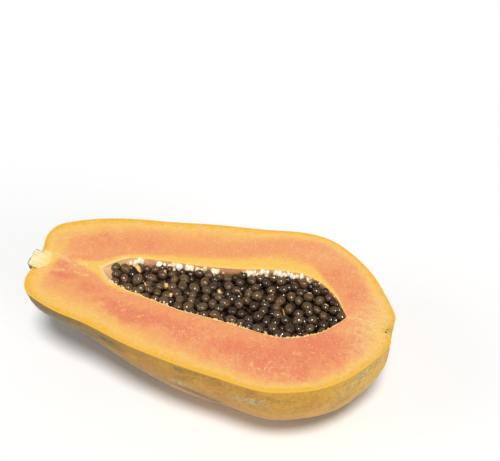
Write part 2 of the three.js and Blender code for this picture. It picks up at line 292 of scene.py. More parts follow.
class Finish:
    """One material, and short names for the nodes that go into it."""

    def __init__(self, name, **constants):
        self.material = bpy.data.materials.new(name)
        self.material.use_nodes = True
        self.nodes = self.material.node_tree.nodes
        self.links = self.material.node_tree.links
        self.shader = self.nodes["Principled BSDF"]
        self.place = self.node("ShaderNodeTexCoord").outputs["Object"]
        for socket, value in constants.items():
            self.shader.inputs[socket.replace("_", " ")].default_value = value

    def node(self, kind, **settings):
        made = self.nodes.new(kind)
        for key, value in settings.items():
            setattr(made, key, value)
        return made

    def join(self, source, target):
        """Feeds a node's output or a plain value into an input."""
        if isinstance(source, bpy.types.NodeSocket):
            self.links.new(source, target)
        else:
            target.default_value = source

    def value(self, name, output="Fac"):
        """A value that the mesh stores for each point."""
        return self.node("ShaderNodeAttribute", attribute_name=name).outputs[output]

    def stretch(self, scale, place=None):
        """The place, scaled on each axis so that noise read there comes out stretched."""
        mapping = self.node("ShaderNodeMapping")
        self.join(place or self.place, mapping.inputs["Vector"])
        mapping.inputs["Scale"].default_value = scale
        return mapping.outputs["Vector"]

    def noise(self, scale, detail=3.0, roughness=0.55, place=None, distortion=0.0):
        """Cloudy noise from 0 to 1, with about scale clouds to the metre."""
        made = self.node("ShaderNodeTexNoise")
        self.join(place or self.place, made.inputs["Vector"])
        settings = {"Scale": scale, "Detail": detail, "Roughness": roughness, "Distortion": distortion}
        for key, value in settings.items():
            made.inputs[key].default_value = value
        return made.outputs["Fac"]

    def plus_place(self, size):
        """The place, shaken by up to size metres so that round cells turn out ragged."""
        made = self.node("ShaderNodeTexNoise")
        self.join(self.place, made.inputs["Vector"])
        made.inputs["Scale"].default_value = 0.9 / size
        shake = self.node("ShaderNodeVectorMath", operation="MULTIPLY_ADD")
        self.join(made.outputs["Color"], shake.inputs[0])
        shake.inputs[1].default_value = (size, size, size)
        self.join(self.place, shake.inputs[2])
        return shake.outputs["Vector"]

    def cells(self, scale, place=None):
        """Distance to the nearest of many scattered points, which draws round spots."""
        made = self.node("ShaderNodeTexVoronoi")
        self.join(place or self.place, made.inputs["Vector"])
        made.inputs["Scale"].default_value = scale
        return made.outputs["Distance"]

    def math(self, operation, first, second=0.0):
        """One of Blender's own sums on two numbers."""
        made = self.node("ShaderNodeMath", operation=operation)
        self.join(first, made.inputs[0])
        self.join(second, made.inputs[1])
        return made.outputs[0]

    def times(self, first, second):
        return self.math("MULTIPLY", first, second)

    def plus(self, first, *more):
        """The sum of two or more."""
        return self.math("ADD", first, self.plus(*more)) if more else first

    def cap(self, source, most):
        """The source, but never more than most."""
        return self.math("MINIMUM", source, most)

    def swing(self, source, size):
        """Noise from 0 to 1 as a swing from -size to size."""
        return self.times(self.math("SUBTRACT", source, 0.5), 2 * size)

    def fade(self, source, low, high):
        """0 below low, 1 above high, smooth between; low may be the larger."""
        made = self.node("ShaderNodeMapRange", interpolation_type="SMOOTHSTEP")
        self.join(source, made.inputs["Value"])
        made.inputs["From Min"].default_value = min(low, high)
        made.inputs["From Max"].default_value = max(low, high)
        made.inputs["To Min"].default_value = float(low > high)
        made.inputs["To Max"].default_value = float(low <= high)
        return made.outputs["Result"]

    def line(self, source, width):
        """1 where noise passes its middle value, which draws thin wandering lines."""
        return self.fade(self.math("ABSOLUTE", self.math("SUBTRACT", source, 0.5)), width, 0.0)

    def ramp(self, source, *stops):
        """Screen colours at places from 0 to 1, blended between them."""
        made = self.node("ShaderNodeValToRGB")
        self.join(source, made.inputs["Fac"])
        points = made.color_ramp.elements
        while len(points) < len(stops):
            points.new(0.5)
        for point, (place, _) in zip(points, stops):
            point.position = place
        for point, (_, colour) in zip(points, stops):
            point.color = screen(*colour)
        return made.outputs["Color"]

    def blend(self, share, first, second, how="MIX"):
        """The first colour, covered with the second by a share from 0 to 1."""
        made = self.node("ShaderNodeMix", data_type="RGBA", blend_type=how)
        colour_inputs = [socket for socket in made.inputs if socket.type == "RGBA"]
        self.join(share, made.inputs["Factor"])
        self.join(first, colour_inputs[0])
        self.join(second, colour_inputs[1])
        return next(socket for socket in made.outputs if socket.type == "RGBA")

    def bump(self, height, strength, distance, normal=None):
        """Relief that only the shading shows, with a depth in metres, over the relief of another bump."""
        made = self.node("ShaderNodeBump")
        made.inputs["Strength"].default_value = strength
        made.inputs["Distance"].default_value = distance
        self.join(height, made.inputs["Height"])
        if normal is not None:
            self.join(normal, made.inputs["Normal"])
        return made.outputs["Normal"]

    def wear(self, colour, roughness, normal):
        """Connects what changes over the surface, and returns the finished material."""
        self.join(colour, self.shader.inputs["Base Color"])
        self.join(roughness, self.shader.inputs["Roughness"])
        self.join(normal, self.shader.inputs["Normal"])
        print(self.material.name, "is made of", len(self.nodes), "nodes")
        return self.material


print("white 255 is", screen(255, 255, 255)[0], "and grey 128 is", round(screen(128, 128, 128)[0], 3))

# %% [markdown]
# ## Camera
# The half is looked at from the front and well above, a little from the blossom side, with a long lens
# that keeps its proportions. Everything is modelled all round, so the camera can go anywhere, but this
# view shows the cut face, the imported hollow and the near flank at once.

# %% Camera
CAMERA_MM = (164.88, -471.18, 533.36)  # in the drawing
CAMERA_TURN, CAMERA_DOWN = 16.4, 44.0  # degrees
LENS_MM, SENSOR_MM = 85, 36
camera = bpy.data.objects.new("camera", bpy.data.cameras.new("camera"))
bpy.context.scene.collection.objects.link(camera)
bpy.context.scene.camera = camera
camera.location = [float(v) for v in (np.array(CAMERA_MM) + SHIFT) * MM]
camera.rotation_euler = (math.radians(90 - CAMERA_DOWN), 0, math.radians(CAMERA_TURN))
camera.data.lens = LENS_MM
camera.data.sensor_width = SENSOR_MM
print("camera at", [round(v, 3) for v in camera.location])

# %% [markdown]
# ## Table and light
# The table is plain and white. One soft light stands high behind the camera, so each wet seed shows one
# small bright spot just above its middle, and the cut face is lit evenly. Two weaker ones on the left and
# the right and a pale sky open up the shadow on the flank. All three are suns with wide discs: their
# light does not fall off with distance, so the table stays white up to the far edge, as a lamp near the
# fruit could not keep it.

# %% Table and lamps
def add_light(name, turn, up, width, strength):
    """A round soft light, seen from the fruit at two angles in degrees: turn, from straight in front towards
    the blossom end, and up from the table. The width of its disc is in degrees too."""
    light = bpy.data.lights.new(name, "SUN")
    light.angle = math.radians(width)
    light.energy = strength
    holder = bpy.data.objects.new(name, light)
    bpy.context.scene.collection.objects.link(holder)
    turn, up = math.radians(turn), math.radians(up)
    place = Vector((math.cos(up) * math.sin(turn), -math.cos(up) * math.cos(turn), math.sin(up)))
    holder.location = place
    holder.rotation_euler = (-place).to_track_quat("-Z", "Y").to_euler()


add_light("light_high", turn=20, up=66, width=14, strength=2.52)
add_light("light_left", turn=-60, up=35, width=28, strength=0.30)
add_light("light_right", turn=62, up=24, width=22, strength=0.46)
sky = bpy.data.worlds.new("sky")
sky.use_nodes = True
sky_inputs = sky.node_tree.nodes["Background"].inputs
sky_inputs["Color"].default_value = (1, 1, 1, 1)
sky_inputs["Strength"].default_value = 0.21
bpy.context.scene.world = sky
bpy.context.scene.view_settings.view_transform = "Standard"

TABLE = 12.0  # metres from its middle to its edge
table_corners = [(-TABLE, -TABLE, 0), (TABLE, -TABLE, 0), (TABLE, TABLE, 0), (-TABLE, TABLE, 0)]
table_mesh = bpy.data.meshes.new("table")
table_mesh.from_pydata(table_corners, [], [(0, 1, 2, 3)])
table = bpy.data.objects.new("table", table_mesh)
bpy.context.scene.collection.objects.link(table)
table_white = Finish("table_white", Roughness=0.9, Base_Color=(0.96, 0.96, 0.96, 1))
table_mesh.materials.append(table_white.material)
print("three lights and a table of", round(table.dimensions[0]), "m")

# %% [markdown]
# ## The skin
# A ripe papaya's skin is thinner than a millimetre, satin, and never one colour. Ochre shows through
# olive green that ripens away in cloudy patches, over which lie brown freckles and grey healed scars. A
# thin closed shell is made, not just a painted surface, so that the cut shows its edge as a fine yellow
# line. Its broad dents are in the mesh, and only its pores are bump.

# %% Skin finish
def ripe_skin(f, cloud, grain):
    """Ochre that turns yellow as it ripens, with olive left in streaks and patches."""
    broad = f.noise(14, 5, 0.6)
    streak = f.noise(34, 6, 0.66, place=f.stretch((0.5, 1.5, 1.5)), distortion=0.8)
    ripe = f.plus(f.value("ripe"), f.swing(broad, 0.26), f.swing(cloud, 0.3))
    ochre = f.ramp(ripe, (0.00, (124, 96, 36)), (0.22, (154, 116, 46)), (0.42, (190, 140, 54)),
                   (0.60, (208, 154, 58)), (0.78, (222, 170, 62)), (1.00, (238, 194, 78)))
    olive = f.ramp(grain, (0.35, (82, 78, 34)), (0.6, (138, 124, 58)))
    olive_patches = f.times(f.value("olive"), f.fade(streak, 0.34, 0.54))
    green = f.plus(f.times(f.fade(streak, 0.54, 0.68), 0.4), olive_patches)
    colour = f.blend(f.cap(green, 0.88), ochre, olive)
    yellow = f.times(f.value("yellow"), f.fade(f.plus(cloud, f.swing(grain, 0.2)), 0.72, 0.4))
    return f.blend(yellow, colour, screen(222, 176, 44))


def scarred_skin(f, colour, grain, ragged, scuff):
    """Grey healed scuffs, pale scratches in them, and brown bruises."""
    healed = f.ramp(grain, (0.35, (162, 138, 102)), (0.65, (222, 200, 156)))
    colour = f.blend(f.cap(scuff, 0.75), colour, healed)
    scratch = f.line(f.noise(150, 3, 0.5, place=f.stretch((0.35, 1.4, 1.4)), distortion=0.6), 0.012)
    colour = f.blend(f.times(f.times(scratch, f.value("scuffed")), 0.8), colour, screen(236, 222, 186))
    bruise = f.times(f.value("bruised"), f.fade(f.plus(ragged, f.swing(grain, 0.3)), 0.3, 0.55))
    return f.blend(bruise, colour, screen(86, 64, 42))


def freckled_skin(f, colour):
    """Ragged brown spots and finer specks, in loose groups."""
    spots = f.fade(f.cells(260, f.plus_place(0.002)), 0.22, 0.08)
    spots = f.times(spots, f.fade(f.noise(80, 3), 0.56, 0.66))
    specks = f.fade(f.cells(760, f.plus_place(0.0008)), 0.26, 0.1)
    specks = f.times(specks, f.fade(f.noise(45, 3), 0.45, 0.62))
    freckles = f.plus(f.times(spots, 0.6), f.times(specks, 0.55))
    return f.blend(f.cap(freckles, 0.8), colour, screen(92, 66, 36))


def skin_finish():
    f = Finish("papaya_skin", Specular_IOR_Level=0.2)
    cloud = f.noise(60, 5, 0.65, distortion=0.4)
    grain = f.noise(430, 6, 0.75)
    pores = f.noise(1300, 3, 0.6)
    ragged = f.noise(90, 8, 0.78, place=f.stretch((0.6, 1.2, 1.2)), distortion=1.2)
    scuff_patches = f.times(f.value("scuffed"), f.fade(ragged, 0.44, 0.54))
    scuff = f.plus(scuff_patches, f.times(f.fade(ragged, 0.6, 0.68), 0.45))
    colour = scarred_skin(f, ripe_skin(f, cloud, grain), grain, ragged, scuff)
    colour = freckled_skin(f, colour)
    shade = f.ramp(grain, (0.34, (214, 206, 186)), (0.5, (244, 241, 232)), (0.66, (255, 255, 255)))
    colour = f.blend(1.0, colour, shade, "MULTIPLY")
    colour = f.blend(f.value("cut_edge"), colour, screen(250, 192, 70))
    rough = f.plus(f.times(grain, 0.3), f.times(scuff, 0.15), 0.28)
    normal = f.bump(f.plus(grain, f.times(ragged, 0.6)), 0.4, 0.0007, f.bump(pores, 0.25, 0.0003))
    return f.wear(colour, rough, normal)


# %% [markdown]
# ### Patches on the skin
# Noise alone puts marks anywhere. On a real fruit they have places: green lasts longest near the stem
# end, the parts that rubbed on something are scuffed, and knocks leave brown bruises. So each kind of
# mark has a short list of soft patches, and the mesh stores how strongly they cover each point. A painted
# map would do the same, but could not be changed by editing a number.

# %% Where the marks are
# Places by x in mm and turn in degrees from the near rim, with their reach in each and their strength.
# The broad olive patches on the near flank at the stem end are partly painted shade: they darken that flank
# as well as greening it.
OLIVE_AND_SHADE_PATCHES = [
    (-90, 14, 14, 12, 0.5), (-84, 40, 16, 24, 0.35), (-56, 4, 6, 3, 1.0), (-48, 8, 7, 3, 1.3),
    (-41, 11, 5, 3, 1.3), (-62, 16, 10, 8, 0.7), (0, 4.5, 3.5, 2, 1.1), (-40, 70, 20, 20, 0.7),
    (-20, 95, 26, 18, 0.8), (35, 120, 30, 14, 0.7), (60, 75, 22, 12, 0.6), (-60, 150, 24, 14, 0.8),
    (88, 140, 16, 20, 0.6),
]
YELLOW_PATCHES = [
    (90, 3, 12, 4, 1.1), (102, 4, 7, 3, 0.9), (114, 60, 5, 60, 0.9), (-31, 11, 4, 3, 0.8),
    (-8, 5, 9, 3, 0.5), (70, 100, 26, 18, 0.6), (20, 160, 30, 12, 0.7), (-30, 172, 30, 10, 0.6),
    (108, 160, 12, 20, 0.9),
]
SCUFF_PATCHES = [
    (107, 10, 5, 6, 1.5), (101, 18, 6, 5, 0.9), (94, 15, 4, 3, 0.4), (44, 12, 8, 3, 1.1),
    (53, 11, 6, 2.5, 0.9), (36, 12, 5, 2, 0.7), (1, 20, 9, 4, 0.9), (-90, 20, 10, 5, 0.5),
    (-74, 12, 8, 4, 0.4), (40, 140, 14, 9, 0.8), (-20, 130, 10, 8, 0.6), (100, 100, 10, 12, 0.7),
]
BRUISES = [
    (12, 27, 9, 3, 1.2), (0, 24, 7, 2, 0.7), (22, 30, 9, 2, 0.8), (115.7, 13, 1.0, 9, 1.2),
    (-90, 80, 12, 10, 0.35), (62, 150, 9, 5, 0.6),
]
# Ripeness by x: the stem end ripens last.
RIPENESS = [
    (-116, 0.1), (-90, 0.16), (-60, 0.3), (-20, 0.46), (20, 0.52), (60, 0.6), (90, 0.7), (116, 1.0),
]
print(len(OLIVE_AND_SHADE_PATCHES), "olive patches,", len(YELLOW_PATCHES), "yellow,", len(SCUFF_PATCHES), "scuffed")


# %% Soft patches
def hill(value, centre, reach):
    """A smooth bump: 1 at the centre, and 0.37 at its reach."""
    return np.exp(-(((value - centre) / reach) ** 2))


def read_list(rows, x):
    """A value listed by x, at any x."""
    return np.interp(x, [row[0] for row in rows], [row[1] for row in rows])


def patches(places, x, turn):
    """How strongly a list of soft patches covers each point."""
    cover = sum(s * hill(x, px, rx) * hill(turn, pt, rt) for px, pt, rx, rt, s in places)
    return np.clip(cover, 0, 1)


# %% The stub's seat, and the thickness of the skin
SEAT_DEPTH, SEAT_END = 1.4, -106.5  # how far the stub's seat is sunk, and where it ends along X, in mm


def press_down(points):
    """Sinks the cut face softly where the stalk's stub, a piece of its own, shows."""
    x, y, z = (points[..., k] for k in range(3))
    across = np.clip((1.0 - np.abs(y - STUB["y"]) / STUB["radius"]) / 0.15, 0, 1)
    along = np.clip((SEAT_END + 0.8 * np.sin(1.9 * y) - x) / 1.5, 0, 1)
    points[..., 2] = z - SEAT_DEPTH * across * along * (z > -1)
    return points


def deepening(turns):
    """Skin thickness as a share: true at the cut, more below it, where nobody sees the inside."""
    return 1 + 2.3 * np.clip(np.sin(turns) * 8, 0, 1)


# %% Skin shell
SKIN_ROUND, SKIN_ROUND_INSIDE = 130, 40  # steps from rim to rim, outside and on the unseen inner side
DENT_MEAN = 0.55  # mm
DENTS = [(0.5, 0.045, 3.0), (0.14, 0.16, 9.0), (0.05, 0.5, 1.0)]  # each: size in mm, waves to the mm, seed
FRUIT_RADIUS = 66  # mm at the widest place, which turns a dent into a share of the fruit
NOTCH_X, NOTCH_Y, NOTCH_DEPTH = 110.9, -0.8, 9  # the brown notch where the flower sat, in mm


def dented(points):
    """The outside of the skin with its broad shallow dents, which fade out at the cut."""
    flat = points.reshape(-1, 3)
    dents = sum((size * wave(flat, per_mm, seed) for size, per_mm, seed in DENTS), DENT_MEAN)
    below = np.clip(-flat[:, 2] / 5, 0, 1)
    return (flat * (1 - (dents * below / FRUIT_RADIUS))[:, None]).reshape(points.shape)


def build_skin():
    turns = np.linspace(0, np.pi, SKIN_ROUND + 1)
    inner_turns = np.linspace(0, np.pi, SKIN_ROUND_INSIDE + 1)
    outside = dented(skin_points(turns))
    inside = skin_points(inner_turns, np.tile(deepening(inner_turns), (ALONG + 1, 1)))
    rows = press_down(np.concatenate([outside, inside[:, ::-1]], axis=1))
    x, y, z = (rows[..., k].ravel() for k in range(3))
    turn = np.tile(np.degrees(np.concatenate([turns, inner_turns[::-1]])), ALONG + 1)
    at_notch = hill(x, NOTCH_X, 0.8) * hill(y, NOTCH_Y, 3.0) * (z > -NOTCH_DEPTH)
    values = {
        "cut_edge": np.clip(1 - np.abs(z) / 0.3, 0, 1),
        "olive": patches(OLIVE_AND_SHADE_PATCHES, x, turn),
        "yellow": patches(YELLOW_PATCHES, x, turn),
        "scuffed": patches(SCUFF_PATCHES, x, turn),
        "bruised": np.maximum(patches(BRUISES, x, turn), at_notch),
        "ripe": read_list(RIPENESS, x),
    }
    shape = rows.reshape(-1, 3), grid_faces(ALONG + 1, rows.shape[1], wrap=True)
    return add_piece("papaya_skin", shape, values, skin_finish(), "fruit_half", corner=45)


build_skin()

# %% [markdown]
# ## The flesh
# The flesh goes from yellow under the skin through salmon to coral by the hollow, and the far wall that
# carries the ovules is yellow again. What the eye reads as papaya is this slow change, broken up by
# fibres that run out to the skin, soft mottling, pale threads and tiny glints, which are painted
# highlights in the colour. The mesh stores how far each point lies from the skin, which blushes cover
# it, and which way its fibres run, and the material turns those into colour. Painting an image would fix
# the size of the detail; this way stays sharp close up.

# %% Colours of the flesh
def flesh_noise(f):
    """The unevenness of the flesh, from long fibres that follow its grain down to fine grit."""
    grain = f.value("grain", "Vector")
    return SimpleNamespace(
        grain=grain,
        fibre=f.noise(1000, 4, 0.6, place=f.stretch((0.42, 0.07, 1), grain), distortion=0.4),
        strand=f.noise(1000, 3, 0.6, place=f.stretch((0.16, 0.035, 1), grain)),
        cloud=f.noise(70, 5, 0.62),
        pulp=f.noise(230, 4, 0.6, distortion=0.6),
        fine=f.noise(480, 4, 0.68),
        grit=f.noise(1500, 3, 0.65),
    )


def ripe_flesh(f, n, depth):
    """Yellow under the skin, then salmon, with coral blushes and with gold round the hollow."""
    colour = f.ramp(depth, (0.00, (253, 188, 62)), (0.06, (253, 193, 82)), (0.26, (252, 202, 112)),
                    (0.46, (250, 188, 108)), (0.66, (246, 172, 108)), (0.95, (245, 162, 106)))
    blush = f.plus(f.value("blush"), f.swing(n.strand, 0.5), f.swing(n.cloud, 0.8), f.swing(n.pulp, 0.75))
    blush = f.times(f.fade(blush, 0.10, 0.95), f.fade(f.value("blush"), 0.02, 0.25))
    colour = f.blend(blush, colour, screen(237, 137, 100))
    ripple = f.times(f.fade(n.pulp, 0.54, 0.68), f.fade(n.fine, 0.35, 0.6))
    colour = f.blend(f.times(ripple, 0.72), colour, screen(252, 190, 122))
    gold = f.fade(f.plus(f.value("gold"), f.swing(n.cloud, 0.2), f.swing(n.fine, 0.12)), 0.15, 0.9)
    return f.blend(gold, colour, screen(253, 203, 98))


def pale_flesh(f, n, colour):
    """Veils, veins, the cream core at the stalk, and thin wandering threads."""
    veil = f.times(f.value("veil"), f.fade(f.plus(f.swing(n.fine, 0.5), n.fibre), 0.15, 0.75))
    colour = f.blend(f.times(veil, 0.8), colour, screen(252, 206, 140))
    vein = f.times(f.value("vein"), f.fade(f.plus(f.swing(n.fine, 0.6), n.fibre), 0.2, 0.75))
    colour = f.blend(f.times(vein, 0.85), colour, screen(254, 216, 150))
    cream = f.fade(f.plus(f.value("cream"), f.swing(n.fibre, 0.2)), 0.15, 0.9)
    colour = f.blend(cream, colour, screen(251, 232, 172))
    squiggles = f.noise(1000, 2, 0.5, place=f.stretch((0.2, 0.09, 1), n.grain), distortion=1.6)
    squiggles = f.times(f.line(squiggles, 0.027), f.value("squiggles"))
    lines = f.noise(46, 3, 0.5, place=f.stretch((0.35, 2.6, 1)), distortion=0.5)
    lines = f.plus(f.times(f.line(lines, 0.018), f.value("lines")), squiggles)
    return f.blend(f.times(lines, 0.85), colour, screen(252, 204, 148))


# %% Flesh finish
def painted_glints_on_flesh(f, n, colour, depth):
    """Tiny painted highlights as pale specks on wet cells, and a fine dimming between them."""
    # The flecks and round drops below are painted highlights, pale specks in the colour, not juice in the
    # mesh.
    flecks = f.times(f.fade(n.grit, 0.58, 0.68), f.fade(f.noise(190, 3), 0.38, 0.56))
    drops = f.fade(f.cells(640, f.plus_place(0.001)), 0.25, 0.12)
    drops = f.times(drops, f.fade(f.noise(210, 2), 0.46, 0.62))
    glints = f.times(f.plus(f.times(flecks, 0.9), drops), f.fade(depth, 0.1, 0.4))
    colour = f.blend(f.times(glints, 0.8), colour, screen(255, 226, 176))
    dimming = f.ramp(f.plus(f.swing(n.grit, 0.3), n.fine), (0.3, (238, 233, 228)), (0.6, (255, 255, 255)))
    return f.blend(0.5, colour, dimming, "MULTIPLY")


def hollow_edges(f, n, colour):
    """The pale rim of the hollow, its wall, which darkens on its way down, and the scar at the notch."""
    rim = f.fade(f.plus(f.value("rim"), f.swing(n.fine, 0.5)), 0.3, 0.8)
    colour = f.blend(rim, colour, screen(253, 214, 146))
    wall_depth = f.plus(f.swing(n.fine, 0.4), f.value("wall_depth"))
    wall = f.ramp(wall_depth, (0.06, (255, 208, 148)), (0.3, (240, 182, 134)), (0.62, (196, 136, 100)),
                  (1.0, (96, 56, 38)))
    colour = f.blend(f.value("lining"), colour, wall)
    scar = f.fade(f.plus(f.value("scar"), f.swing(n.fine, 0.5)), 0.35, 0.7)
    return f.blend(scar, colour, screen(112, 74, 40))


def flesh_finish():
    f = Finish("papaya_flesh", Specular_IOR_Level=0.4, Subsurface_Weight=0.2, Subsurface_Scale=0.003,
               Subsurface_Radius=(1.0, 0.4, 0.15))
    n = flesh_noise(f)
    swings = [f.swing(n.fibre, 0.14), f.swing(n.cloud, 0.22), f.swing(n.pulp, 0.26), f.swing(n.fine, 0.16)]
    depth = f.plus(f.value("rind_depth"), *swings)
    colour = pale_flesh(f, n, ripe_flesh(f, n, depth))
    colour = hollow_edges(f, n, painted_glints_on_flesh(f, n, colour, depth))
    rough = f.plus(f.times(n.fine, 0.3), 0.28)
    relief = f.bump(f.plus(f.plus(n.fine, n.fibre), n.pulp), 0.3, 0.0007)
    return f.wear(colour, rough, f.bump(n.grit, 0.3, 0.00025, relief))


# %% [markdown]
# ### Zones of the cut face
# The cut face has a plan: gold along the wall with the ovules, coral where the flesh is ripest, cream at
# the stalk, and a yellow band of changing width under the skin. Lists of soft patches and of widths along
# the fruit hold that plan, and the noise above breaks up their edges. Colouring each point of the mesh by
# hand would give the same plan, but one that is lost when the mesh changes.

# %% Blushes, gold and cream on the cut face
# Places on the cut face by x and y in mm, with their reach in each and their strength.
BLUSHES = [
    (-92, -12, 11, 6, 0.8), (-97, -3.5, 5, 3, 1.0), (-72, -18, 12, 6, 0.5), (-58, -25, 12, 6, 0.5),
    (-38, -31, 18, 7, 0.9), (-6, -33, 24, 8, 0.7), (26, -40, 24, 10, 0.62), (58, -40, 20, 15, 1.0),
    (78, -23, 15, 13, 0.9), (90, -20, 10, 9, 0.6), (90, 14, 8, 10, 0.4), (76, 32, 13, 6, 0.5),
    (86, 22, 8, 8, 0.3), (94, -14, 8, 6, 0.3), (-55, 27, 18, 6, 0.5), (-84, 22, 14, 7, 0.4),
    (-20, 40, 34, 5, 0.25), (50, 55, 16, 4, 0.35), (78, 42, 10, 7, 0.4),
]
GOLDS = [
    (-75, 0.2, 8, 4.2, 1.2), (-84, 1.2, 8, 2.0, 0.9), (109, -1, 5, 6, 1.2), (-102, 14, 5, 14, 0.5),
    (-104, -18, 4, 9, 0.4), (-104, -1, 3.5, 7, 0.8),
]
# Widths in mm, by x, of the gold beside the hollow.
GOLD_WIDTHS_FAR = [
    (-72, 5), (-55, 3.4), (-30, 6), (-10, 8.5), (0, 9.5), (20, 11.5), (38, 12.5), (52, 11), (60, 7),
    (68, 3), (87, 0.4),
]
GOLD_WIDTHS_NEAR = [(-72, 5), (-58, 3.6), (-45, 1.8), (-20, 0.8), (87, 0.4)]
VEILS = [
    (103, 4, 13, 28, 1.1), (96, -24, 10, 12, 0.3), (-84, -4, 12, 5, 0.5), (62, 50, 20, 7, 0.5),
    (-98, 2, 4, 7, 0.5),
]
LINE_ZONES = [(-88, -3, 12, 7, 0.6), (96, 2, 9, 7, 0.6), (-94, 12, 9, 5, 0.35), (-70, -8, 8, 3, 0.3)]
SQUIGGLE_ZONES = [
    (52, -48, 24, 9, 1.0), (0, -36, 22, 7, 0.7), (40, 48, 30, 6, 0.3), (-50, -30, 16, 6, 0.3),
]
# Pale strands in the flesh: points on each, its half-thickness in mm, and its strength.
VEINS = [
    ([(-72, 1.2), (-64, 6), (-54, 12.5)], 1.0, 1.0),
    ([(-105, 3.6), (-97, 1.8), (-90, -1.9), (-82, 0.6)], 0.9, 1.0),
    ([(-104, -8.6), (-97, -9.4), (-88, -6.2)], 1.1, 0.7),
    ([(-86, -7.8), (-81, -8.9), (-77, -8.6)], 0.6, 0.9),
    ([(-107, 16), (-98.6, 22.6), (-91, 28)], 0.6, 0.6),
    ([(86, 2.6), (93, 3.8), (99, 2.7), (108, -1.6)], 1.6, 0.8),
    ([(81, -9.5), (90, -8.4), (99, -9.1)], 0.7, 0.5),
]
# How strongly the hollow's pale rim shows, by x.
RIM_NEAR = [(-72, 1), (-40, 0.7), (-5, 0.5), (10, 0.35), (87, 0.5)]
RIM_FAR = [(-72, 1), (-48, 0.9), (-30, 0.35), (50, 0.2), (60, 0), (87, 0.1)]
# Widths in mm, by x, of the yellow rind under the skin.
RIND_WIDTHS_NEAR = [
    (-115, 9), (-100, 9), (-70, 12), (-40, 10), (5, 8), (50, 5.5), (80, 4), (95, 7), (115, 9),
]
RIND_WIDTHS_FAR = [
    (-115, 8), (-100, 9), (-85, 10), (-55, 7.5), (-20, 9), (8, 9), (25, 5.5), (50, 4), (80, 3.5),
    (95, 7), (115, 9),
]
print(len(BLUSHES), "blushes,", len(GOLDS), "patches of gold and", len(VEINS), "pale strands")


def distance_to(curve, points):
    """Distance across the cut face from each point to a curve."""
    tree = kdtree.KDTree(len(curve))
    for k, p in enumerate(curve):
        tree.insert((p[0], p[1], 0), k)
    tree.balance()
    return np.array([tree.find((p[0], p[1], 0))[2] for p in points])


def strands(points):
    """How strongly the pale strands show at each point."""
    cover = np.zeros(len(points))
    for path, half, strength in VEINS:
        curve = smooth_rows([(x, y, 0) for x, y in path], 50)
        cover = np.maximum(cover, strength * hill(distance_to(curve, points), 0, half))
    return cover


# %% Flesh body
FACE_STEPS = 60  # from the hollow to the skin
WALL_STEPS = 18  # from the bottom of the hollow to its rim
BACK_STEPS = 24  # from rim to rim, hidden in the skin
FACE_CROWDING, WALL_CROWDING = 1.15, 1.5  # above 1 the steps are finest at the rim of the hollow


def cavity_rim(side):
    """Rim of the hollow on one side, -1 near and 1 far, a little torn along the knife's path."""
    rows = smooth_rows(CAVITY, ALONG)
    x, width = rows[:, 0], rows[:, 1]
    middle = cavity_at(x)[2]
    broad = wave([(v, side * 40.0, 0.0) for v in x], 0.5)
    narrow = wave([(v, side * 9.0, 0.0) for v in x], 1.3)
    torn = (0.5 * broad + 0.4 * narrow) * np.clip(width / 5, 0, 1) * (1.0 if side < 0 else 0.5)
    return np.stack([x, middle + side * (width + torn), np.zeros_like(x)], axis=-1)


def flesh_side(side):
    """A grid of one side of the cut face and of the hollow's wall, from the bottom of the hollow to the
    skin, and for each point its place along and across the grain, in metres."""
    rim = cavity_rim(side)
    turn = 0.0 if side < 0 else np.pi
    outer = skin_points(np.array([turn]), 1.0)[:, 0]
    steps = np.linspace(0, 1, FACE_STEPS + 1) ** FACE_CROWDING
    face = rim[:, None] + (outer - rim)[:, None] * steps[None, :, None]
    depth, middle = cavity_at(rim[:, 0])[1:]
    down = (np.linspace(1, 0, WALL_STEPS + 1)[:-1] ** WALL_CROWDING) * np.pi / 2
    wall = np.stack([
        np.repeat(rim[:, :1], len(down), axis=1),
        middle[:, None] + (rim[:, 1] - middle)[:, None] * np.cos(down),
        -depth[:, None] * np.sin(down),
    ], axis=-1)
    middle_line = (rim + outer) / 2
    run = np.concatenate([[0], np.cumsum(np.linalg.norm(np.diff(middle_line, axis=0), axis=1))])
    reach = np.linalg.norm(face - rim[:, None], axis=-1)
    reach = np.concatenate([-np.ones((ALONG + 1, len(down))), reach], axis=1)
    run = np.repeat(run[:, None], reach.shape[1], axis=1)
    grain = np.stack([run, reach, np.full_like(reach, 50 * side)], axis=-1)
    return np.concatenate([wall, face], axis=1), grain * MM


# %% Zones of the flesh
CORE_END = -103  # x where the cream core under the stub ends
WIDE_RIM_END = -58  # x where the pale rim of the hollow narrows
DARK_WALL_START = -68  # x where the hollow's wall starts to darken
SCAR_X, SCAR_Y = 112.0, -2.1  # the brown scar at the notch


